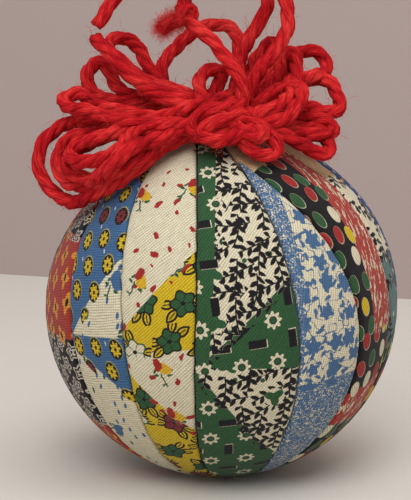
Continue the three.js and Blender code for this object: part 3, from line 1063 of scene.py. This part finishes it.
# %% Cream cloth with red spots and tulips
def tulip(spot, bud, cup, stem):
    """A bud in a cup, on a short stem with leaves. Its top is toward smaller y."""
    leaves = any_of(
        oval(turned(shifted(spot, 1.85, 1.1), -0.4), 0.62, 0.34),
        oval(turned(shifted(spot, 1.2, 2.1), -0.2), 0.6, 0.33),
        oval(turned(shifted(spot, -1.2, 0.1), 0.8), 0.55, 0.3),
        oval(turned(shifted(spot, -1.5, 1.1), -0.4), 0.55, 0.33),
        oval(turned(shifted(spot, -1.0, 3.4), 0.2), 0.5, 0.22),
        box(shifted(spot, -0.5, 2.6), 0.19, 1.5),
    )
    return (
        (leaves, stem),
        (oval(turned(shifted(spot, 0.7, 0.3), -0.9), 1.75, 1.15), cup),
        (oval(turned(shifted(spot, -0.1, -0.8), -0.25), 0.86, 1.4), bud),
    )


@print_group("red tulips")
def red_tulips(place):
    rough = crinkled(place, 1.1, 0.9)
    dot, (chance, size, turn) = scattered(rough, 3.7, 0.5)
    long_dot = turned(dot, turn * 3).vector("MULTIPLY", (1.35, 0.85, 0))
    blot = inside(size_of(long_dot), size * 0.5 + 0.42)
    spot, (kind, lean, _) = scattered(rough, 10.0, 0.3, salt=(3, 1), lean=0.5)
    spot = turned(spot, lean * 1.2 - 0.9)
    cup = colour(222, 178, 44)
    bloom = [(cover * likely(kind, 0.7), ink) for cover, ink in tulip(spot, RED, cup, GREEN)]
    return inked(CREAM, (blot * likely(chance, 0.62), RED), *bloom)


# %% Cream cloth with blue drops
@print_group("blue drops")
def blue_drops(place):
    drop, (chance, _, turn) = scattered(place, 2.5, 0.7)
    falling = oval(turned(drop, turn * 0.5 - 0.55), 0.32, 0.72)
    spot, (kind, lean, _) = scattered(place, 9.0, 0.35, salt=(1.6, 5), lean=0.5)
    spot = turned(spot, lean * 1.4 - 1.2)
    bloom = [(cover * likely(kind, 0.45), ink) for cover, ink in tulip(spot, BLUE, BLUE, GREEN)]
    green_bit = likely(chance, 0.09)
    return inked(CREAM, (falling * likely(chance, 0.5), BLUE), (falling * green_bit, GREEN), *bloom)


# %% Yellow cloth with outlined flowers
@print_group("yellow flowers")
def yellow_flowers(place):
    tree = place.tree
    spot, (kind, turn, _) = scattered(place, 8.4, 0.3, lean=0.5)
    turned_spot = turned(spot, turn * 6.3)
    near, far = likely(kind, 0.5), likely(kind, 0.78)
    petal_ink = blended(tree, near, blended(tree, far, CREAM, DULL_RED), GREEN)
    outline_ink = blended(tree, far, GREEN, BLACK)
    x, y, _ = turned_spot.parts()
    veins = (y.math("ARCTAN2", x) * 2.5).math("COSINE").math("ABSOLUTE")
    centre_lines = inside(veins, 0.16, 0.1) * inside(size_of(spot), 1.7)
    leaves = []
    for angle in (0.0, 0.75, 2.6, 3.3):
        blade = shifted(turned(turned_spot, angle), 3.3, 0.0)
        leaves.append((leaf(blade, 1.95, 1.02), BLACK))
        leaves.append((leaf(blade, 1.35, 0.56), YELLOW))
        leaves.append((box(blade, 0.9, 0.13), BLACK))
    return inked(
        YELLOW,
        *leaves,
        (flower(turned_spot, 5, 2.5, 0.15), outline_ink),
        (flower(turned_spot, 5, 2.12, 0.17), petal_ink),
        (centre_lines, outline_ink),
        (oval(spot, 0.5, 0.42), BLACK),
    )


# %% Cream cloth with black sprigs
def sprig(spot, bend):
    """A bent stem with pointed leaves on both sides in turn."""
    x, y, _ = spot.parts()
    away = y - x * x * 0.05 * bend
    side = away.math("SIGN")
    step = 2.0  # from one leaf to the next on the same side
    half_length = 3.7
    along = x + side * (step / 4)
    along = (along / step).math("FRACT") * step - step / 2
    blade = place_of(spot.tree, along, away.math("ABSOLUTE") - 0.72)
    blade = turned(blade, 0.85)
    within = inside(x.math("ABSOLUTE"), half_length)
    stem = inside(away.math("ABSOLUTE"), 0.17)
    return within * any_of(stem, leaf(blade, 1.12, 0.48))


def garlands(place, lying, salt, share):
    """Long sprigs that all lie nearly one way."""
    squeeze = 0.52  # a sprig has about twice as much room along it as across it
    squeezed = turned(place, lying).vector("MULTIPLY", (squeeze, 1, 0))
    spot, (chance, turn, bend) = scattered(squeezed, 4.3, 0.3, salt=salt, lean=0.5)
    spot = turned(spot.vector("MULTIPLY", (1 / squeeze, 1, 0)), turn * 0.6 - 0.3)
    return sprig(spot, bend * 2.6 - 1.3) * likely(chance, share)


@print_group("black sprigs")
def black_sprigs(place):
    upright = garlands(place, 1.35, (0, 0), 0.9)
    level = garlands(place, 0.1, (3.3, 2.9), 0.7)
    blob, (kind, swing, _) = scattered(place, 9.5, 0.4, salt=(1, 6))
    clover = flower(turned(blob, swing * 3), 3, 1.6, 0.35) * likely(kind, 0.5)
    clear = 1 - inside(size_of(blob), 2.1) * likely(kind, 0.5)
    dot, (dot_kind, _, _) = scattered(place, 5.1, 0.6, salt=(4, 0))
    disc = inside(size_of(dot), 0.5) * likely(dot_kind, 0.3)
    return inked(CREAM, (any_of(clover, disc), GREEN), (any_of(upright, level) * clear, BLACK))


# %% Green cloth with stars and bars
@print_group("green stars")
def green_stars(place):
    even = place.vector("MULTIPLY", (1, 0.86, 0))
    spot, _ = scattered(even, 7.3, 0.0)
    spot = spot.vector("MULTIPLY", (1, 1.16, 0))
    star = flower(spot, 8, 1.56, 0.2)
    hole = inside(size_of(spot), 0.58)
    bar_spot, (upright, _, _) = scattered(even, 7.3, 0.0, salt=(3.65, 3.65))
    bar_spot = turned(bar_spot.vector("MULTIPLY", (1, 1.16, 0)), likely(upright, 0.5) * (math.pi / 2))
    return inked(
        GREEN,
        (box(shifted(bar_spot, 0.16, 0.1), 1.85, 0.82), CREAM),
        (box(bar_spot, 1.82, 0.86), BLACK),
        (star, CREAM),
        (inside(size_of(spot), 0.82), colour(26, 54, 36)),
        (hole, GREEN),
    )


# %% Blue flowers and blue lace
@print_group("blue flowers")
def blue_flowers(place):
    ink = colour(76, 112, 156)
    rough = crinkled(place, 0.6, 1.0, detail=0.5)
    big, (_, turn, size) = scattered(rough, 5.4, 0.5)
    bloom = inside(flower_edge(turned(big, turn * FULL_TURN), 5, 0.22), size * 0.6 + 1.25)
    drops = []
    for pitch, salt in ((2.7, (1.3, 0.4)), (3.3, (0.2, 2.1))):
        small, (chance, swing, _) = scattered(rough, pitch, 0.6, salt=salt)
        drops.append(oval(turned(small, swing * 3.1), 0.4, 0.85) * likely(chance, 0.62))
    wander = noise_at(rough, 0.4, 1.0)
    stem = inside((wander - 0.5).math("ABSOLUTE"), 0.02, 0.008)
    return inked(CREAM, (stem, ink), (any_of(*drops), ink), (bloom, ink))


@print_group("blue lace")
def blue_lace(place):
    curl = (noise_at(place, 0.42, 1.5, 0.6) * 8).math("FRACT")
    vines = inside((curl - 0.5).math("ABSOLUTE"), 0.11, 0.07)
    speckle = ramp(noise_at(place, 2.2, 2.0, 0.6), 0.58, 0.66)
    broken = ramp(noise_at(place, 0.9, 1.0), 0.38, 0.5)
    cover = 1 - any_of(vines * broken, speckle)
    return inked(CREAM, (cover, colour(78, 114, 158)))


# %% Black cloth with pebbles, and red cloth with strokes
@print_group("pebbles")
def pebbles(place):
    tree = place.tree
    narrow = 1.3  # how much closer the pebbles stand across the strip
    spot, (kind, lean, _) = scattered(place.vector("MULTIPLY", (narrow, 1, 0)), 5.0, 0.3, lean=0.5)
    spot = turned(spot.vector("MULTIPLY", (1 / narrow, 1, 0)), lean * 0.6 - 0.3)
    ink = blended(tree, likely(kind, 0.75), CREAM, RED)
    ink = blended(tree, likely(kind, 0.5), ink, YELLOW)
    ink = blended(tree, likely(kind, 0.3), ink, GREEN)
    rim = oval(shifted(spot, 0.05, 0.08), 1.22, 2.0)
    return inked(BLACK, (rim, CREAM), (oval(spot, 1.18, 1.95), ink))


@print_group("red strokes")
def red_strokes(place):
    drawn_out = turned(place, -0.22).vector("MULTIPLY", (1.3, 0.26, 0))
    streak = ramp(noise_at(drawn_out, 1.0, 2.0, 0.6), 0.545, 0.565)
    broken = ramp(noise_at(place.vector("MULTIPLY", (2.6, 1.1, 0)), 1.0, 2.0), 0.40, 0.46)
    patchy = ramp(noise_at(place, 0.28, 1.0), 0.25, 0.4)
    return inked(colour(178, 62, 54), (streak * broken * patchy, CREAM))


# %% White loops, amber flowers, and a bare peach cloth
@print_group("white loops")
def white_loops(place):
    spot, (_, turn, _) = scattered(place, 4.3, 0.2, lean=0.5)
    spot = turned(spot, turn * 3)
    chalk = colour(205, 196, 184)
    return inked(
        BLACK,
        (flower(spot, 5, 1.75, 0.22), chalk),
        (flower(spot, 5, 1.3, 0.22), BLACK),
        (flower(spot, 5, 0.85, 0.3), chalk),
        (oval(spot, 0.35, 0.35), BLACK),
    )


@print_group("amber flowers")
def amber_flowers(place):
    spot, (_, lean, _) = scattered(place, 5.6, 0.3, lean=0.5)
    spot = turned(spot, lean * 0.8 - 0.4)
    tall = spot.vector("MULTIPLY", (1, 0.72, 0))
    return inked(
        colour(172, 60, 52),
        (flower(tall, 4, 1.35, 0.32), AMBER),
        (oval(shifted(spot, 0.1, -0.2), 0.42, 0.95), BLACK),
    )


@print_group("faded peach")
def faded_peach(place):
    faded = ramp(noise_at(place, 0.3, 2.0), 0.4, 0.7)
    return inked(colour(206, 168, 128), (faded, colour(222, 196, 156)))


# %% Blue cloth with dots, and teal cloth with sprigs
@print_group("navy dots")
def navy_dots(place):
    spot, (kind, _, _) = scattered(place, 2.6, 0.1, lean=0.5)
    ink = blended(place.tree, likely(kind, 0.3), CREAM, AMBER)
    return inked(colour(44, 70, 130), (inside(size_of(spot), 0.48), ink))


@print_group("teal sprigs")
def teal_sprigs(place):
    spot, (chance, turn, bend) = scattered(place, 5.2, 0.45, lean=0.5)
    near = inside(size_of(spot), 2.7)
    cover = sprig(turned(spot, turn * FULL_TURN), bend * 4 - 2) * near * likely(chance, 0.85)
    dot, (kind, _, _) = scattered(place, 4.1, 0.6, salt=(2, 2))
    disc = inside(size_of(dot), 0.55) * likely(kind, 0.5)
    return inked(colour(96, 128, 128), (disc, CREAM), (cover, BLACK))


print("prints:", ", ".join(f"{name} {len(tree.nodes)}" for name, tree in PRINTS.items()))

# %% [markdown]
# ## Patches on each strip
#
# A strip shows several patches one below the other. Each is the side of a straight border, so a
# strip is a list: the first print covers it all, and each later one covers the side that its
# border points to. The ink's motifs reach a little over a border, as they do on the real cloth.

# %% The weave
RIB_PITCH = 0.54  # millimetres between the cloth's diagonal ribs
THREAD_PITCH = 0.50
# The tint and strength of the painted shade between the ribs and threads, which also carries the threads'
# own uneven tone.
GAP_TINT = colour(140, 124, 98)
GAP_DARKNESS = 0.75
WEAVE_HEIGHT = 0.06 * MM


@print_group("cotton weave")
def cotton_weave(place):
    """Gives the painted shade between the ribs and threads, mixed with the threads' own uneven tone, as a
    grey, and the height of the threads.
    """
    x, y, _ = crinkled(place, 0.25, 0.8).parts()
    rib = (y * (FULL_TURN / RIB_PITCH)).math("COSINE") * 0.5 + 0.5
    thread = (x * (FULL_TURN / THREAD_PITCH)).math("COSINE") * 0.5 + 0.5
    uneven = noise_at(place, 2.2, 2.0)
    slub = noise_at(place.vector("MULTIPLY", (0.5, 2.6, 0)), 1.0, 2.0)
    rib_gap = (1 - rib).math("POWER", 1.5)
    thread_gap = (1 - thread).math("POWER", 1.8) * 0.75
    gap = rib_gap.math("MAXIMUM", thread_gap) * (0.4 + uneven * 0.7) + (0.62 - slub) * 0.7
    height = rib * (0.55 + thread * 0.45)
    grey = put(place.tree, "ShaderNodeCombineColor", (gap, gap, gap))
    return grey, height


# %% Where the patches are
# Each patch is its print, a place on its border, the way it lies from there, and the print's own
# turn. Places are in millimetres: across from the strip's middle, and down from the top pole.
GORE_CLOTH = {
    1: {"rib": 10, "patches": [
        ("white loops", None, 0, 20),
        ("amber flowers", (0, 38), 95, 5),
        ("white loops", (0, 60), 92, 40),
        ("amber flowers", (0, 80), 95, 0),
    ]},
    2: {"rib": 4, "patches": [
        ("blue daisies", None, 0, 0),
        ("blue drops", (2, 48), 39, 0),
        ("blue daisies", (0, 58.8), 90, 0),
        ("blue drops", (0, 66), 129, 0),
    ]},
    3: {"rib": 38, "patches": [
        ("red tulips", None, 0, 0),
        ("yellow flowers", (0.3, 49.8), 47, 0),
        ("red tulips", (0, 61.4), 92, 30),
        ("yellow flowers", (-3.4, 71.4), 143, 60),
    ]},
    4: {"rib": 47, "patches": [
        ("green stars", None, 0, 0),
        ("black sprigs", (-2.2, 33), 11, 0),
        ("green stars", (0, 57.4), 53.6, 0),
        ("black sprigs", (0, 67), 99, 0),
        ("green stars", (-3.3, 79), 149, 0),
    ]},
    5: {"rib": 72, "patches": [
        ("blue lace", None, 0, 0),
        ("blue flowers", (-5.6, 45), 8, 0),
        ("blue lace", (0, 73), 90, 0),
    ]},
    6: {"rib": 118, "patches": [
        ("faded peach", None, 0, 0),
        ("pebbles", (0, 22), 80, 0),
        ("red strokes", (-2.5, 48), -2, 0),
        ("pebbles", (0, 66), 92, 15),
        ("red strokes", (0, 78), 80, 0),
        ("pebbles", (0, 88), 95, 0),
    ]},
    7: {"rib": 60, "patches": [
        ("faded peach", None, 0, 0),
        ("black sprigs", (0, 31), 80, 40),
        ("teal sprigs", (0, 52), 90, 0),
        ("pebbles", (0, 72), 85, 0),
    ]},
    8: {"rib": 30, "patches": [
        ("navy dots", None, 0, 0),
        ("blue flowers", (0, 78), 100, 0),
    ]},
    9: {"rib": 20, "patches": [
        ("red tulips", None, 0, 0),
        ("green stars", (0, 42), 60, 10),
        ("yellow flowers", (0, 66), 118, 0),
        ("red strokes", (0, 86), 90, 0),
    ]},
    10: {"rib": 50, "patches": [
        ("pebbles", None, 0, 0),
        ("blue drops", (0, 38), 80, 0),
        ("amber flowers", (0, 60), 50, 0),
        ("blue lace", (0, 80), 125, 0),
    ]},
    11: {"rib": 35, "patches": [
        ("green stars", None, 0, 0),
        ("black sprigs", (0, 36), 110, 20),
        ("blue daisies", (0, 58), 62, 0),
        ("red tulips", (0, 78), 95, 0),
    ]},
    12: {"rib": 65, "patches": [
        ("yellow flowers", None, 0, 0),
        ("white loops", (0, 40), 88, 0),
        ("red strokes", (0, 55), 125, 0),
        ("black sprigs", (0, 74), 60, 0),
    ]},
    13: {"rib": 15, "patches": [
        ("blue flowers", None, 0, 0),
        ("yellow flowers", (0, 44), 55, 0),
        ("navy dots", (0, 63), 95, 0),
        ("green stars", (0, 80), 120, 0),
    ]},
    14: {"rib": 42, "patches": [
        ("black sprigs", None, 0, 0),
        ("red strokes", (0, 41), 100, 0),
        ("blue drops", (0, 57), 60, 0),
        ("pebbles", (0, 77), 92, 0),
    ]},
    15: {"rib": 28, "patches": [
        ("amber flowers", None, 0, 0),
        ("teal sprigs", (0, 39), 75, 0),
        ("red tulips", (0, 60), 115, 0),
        ("blue daisies", (0, 82), 88, 0),
    ]},
}
REACH_OVER = 1.5  # how far a motif may reach over a border, in millimetres
BORDER_EDGE = 0.05  # how soft a border is, in millimetres

# %% Dress every gore
def printed(tree, place, name, turn):
    """One print at a place, with its colour and its motif's cover."""
    group = tree.nodes.new("ShaderNodeGroup")
    group.node_tree = PRINTS[name]
    tree.links.new(turned(place, math.radians(turn)).socket, group.inputs["Place"])
    return Flow(group.outputs[0]), Flow(group.outputs[1])


def patchwork_material(number, cloth):
    material, tree, shader = new_material(
        f"patchwork {number:02d}", Roughness=0.88, Specular_IOR_Level=0.2, Sheen_Weight=0.08
    )
    place = put(tree, "ShaderNodeUVMap", uv_map="cloth")
    offset = (37.0 * number, 11.0 * number, 0)  # each strip shows another stretch of its prints
    (name, _, _, turn), *later = cloth["patches"]
    shade, motif = printed(tree, place.vector("ADD", offset), name, turn)
    for name, border, toward, turn in later:
        over, over_motif = printed(tree, place.vector("ADD", offset), name, turn)
        way = (math.cos(math.radians(toward)), math.sin(math.radians(toward)), 0)
        gone = shifted(place, *border).vector("DOT_PRODUCT", way)
        gone = Flow(gone.socket.node.outputs["Value"])
        cover = ramp(gone - motif * REACH_OVER, -BORDER_EDGE, BORDER_EDGE)
        shade = blended(tree, cover, shade, over)
        motif = motif + (over_motif - motif) * cover
    gap, height = printed(tree, place, "cotton weave", cloth["rib"])
    gap_share = put(tree, "ShaderNodeSeparateColor", (gap,))
    # Painted shade between the ribs and threads, with the threads' uneven tone, darkens the print.
    shade = blended(tree, gap_share * GAP_DARKNESS, shade, GAP_TINT, "MULTIPLY")
    finish_shader(shader, shade, height, WEAVE_HEIGHT, 0.9)
    return material


gores = []
for number, cloth in GORE_CLOTH.items():
    gore = build_gore(number - 1, patchwork_material(number, cloth))
    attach(gore, "root")
    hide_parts(f"gore_{number:02d}")
    gores.append(gore)
print("triangles in the cloth:", sum(2 * len(gore.data.polygons) for gore in gores))

# %% [markdown]
# ## The room
#
# The ball stands on a pale table top in front of a grey wall. Two large soft lamps and a dim sky
# light it at a plain level, at which a colour comes out about as it was chosen.

# %% Floor and wall
FLOOR_COLOUR = colour(211, 207, 199)
WALL_COLOUR = colour(172, 156, 152)
WALL_FOOT = Vector((-0.004, 0.270, 0))
WALL_TURN = math.radians(-22)
WALL_REACH = 1.5  # metres to each side, and upward
FLOOR_REACH = 3.0


def stage_plane(name, corners, paint):
    """A flat sheet that is seen from its front alone, so that it hides nothing from behind."""
    mesh = bpy.data.meshes.new(name)
    mesh.from_pydata(corners, [], [(0, 1, 2, 3)])
    material, tree, shader = new_material(name, Roughness=0.9, Specular_IOR_Level=0.1)
    shader.inputs["Base Color"].default_value = paint
    behind = put(tree, "ShaderNodeNewGeometry", out="Backfacing")
    tree.links.new((1 - behind).socket, shader.inputs["Alpha"])
    mesh.materials.append(material)
    plane = bpy.data.objects.new(name, mesh)
    scene.collection.objects.link(plane)


wall_along = Vector((math.cos(WALL_TURN), math.sin(WALL_TURN), 0))
wall_left = WALL_FOOT - wall_along * WALL_REACH
wall_right = WALL_FOOT + wall_along * WALL_REACH
height = Vector((0, 0, WALL_REACH))
front = Vector((0, -FLOOR_REACH, 0))
stage_plane("floor", [wall_left + front, wall_right + front, wall_right, wall_left], FLOOR_COLOUR)
stage_plane("wall", [wall_left, wall_right, wall_right + height, wall_left + height], WALL_COLOUR)

# %% Lamps and sky
SKY_COLOUR = (1.0, 0.99, 0.98, 1)
SKY_STRENGTH = 0.57


def soft_lamp(name, place, size, power):
    data = bpy.data.lights.new(name, "AREA")
    data.shape = "DISK"
    data.size = size
    data.energy = power
    lamp = bpy.data.objects.new(name, data)
    lamp.location = place
    lamp.rotation_euler = (BALL_CENTRE - Vector(place)).to_track_quat("-Z", "Y").to_euler()
    scene.collection.objects.link(lamp)


soft_lamp("front lamp", place=(-0.15, -0.85, 0.85), size=0.7, power=6.6)
soft_lamp("top lamp", place=(0.22, -0.25, 0.95), size=0.8, power=3.5)
scene.world = bpy.data.worlds.new("sky")
scene.world.use_nodes = True
sky = scene.world.node_tree.nodes["Background"]
sky.inputs["Color"].default_value = SKY_COLOUR
sky.inputs["Strength"].default_value = SKY_STRENGTH
scene.view_settings.view_transform = "Standard"

# %% [markdown]
# ## Joining the frame
#
# Every piece rides on the one body, and the solids that the yarn stands for are hidden. The lengths of
# the two free cords are measured along their routes.

bow_pieces = [bow, bow_fuzz]
loop_pieces = [hanging_loop, loop_fuzz, knot, knot_fuzz, knot_end, tuft]
tail_pieces = [loose_tail, tail_fuzz]
for piece in bow_pieces + loop_pieces + tail_pieces:
    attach(piece, "root")
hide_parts("yarn_bow")
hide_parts("hanging_loop")
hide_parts("loose_tail")
route_length(loop_route)
route_length(tail_route)
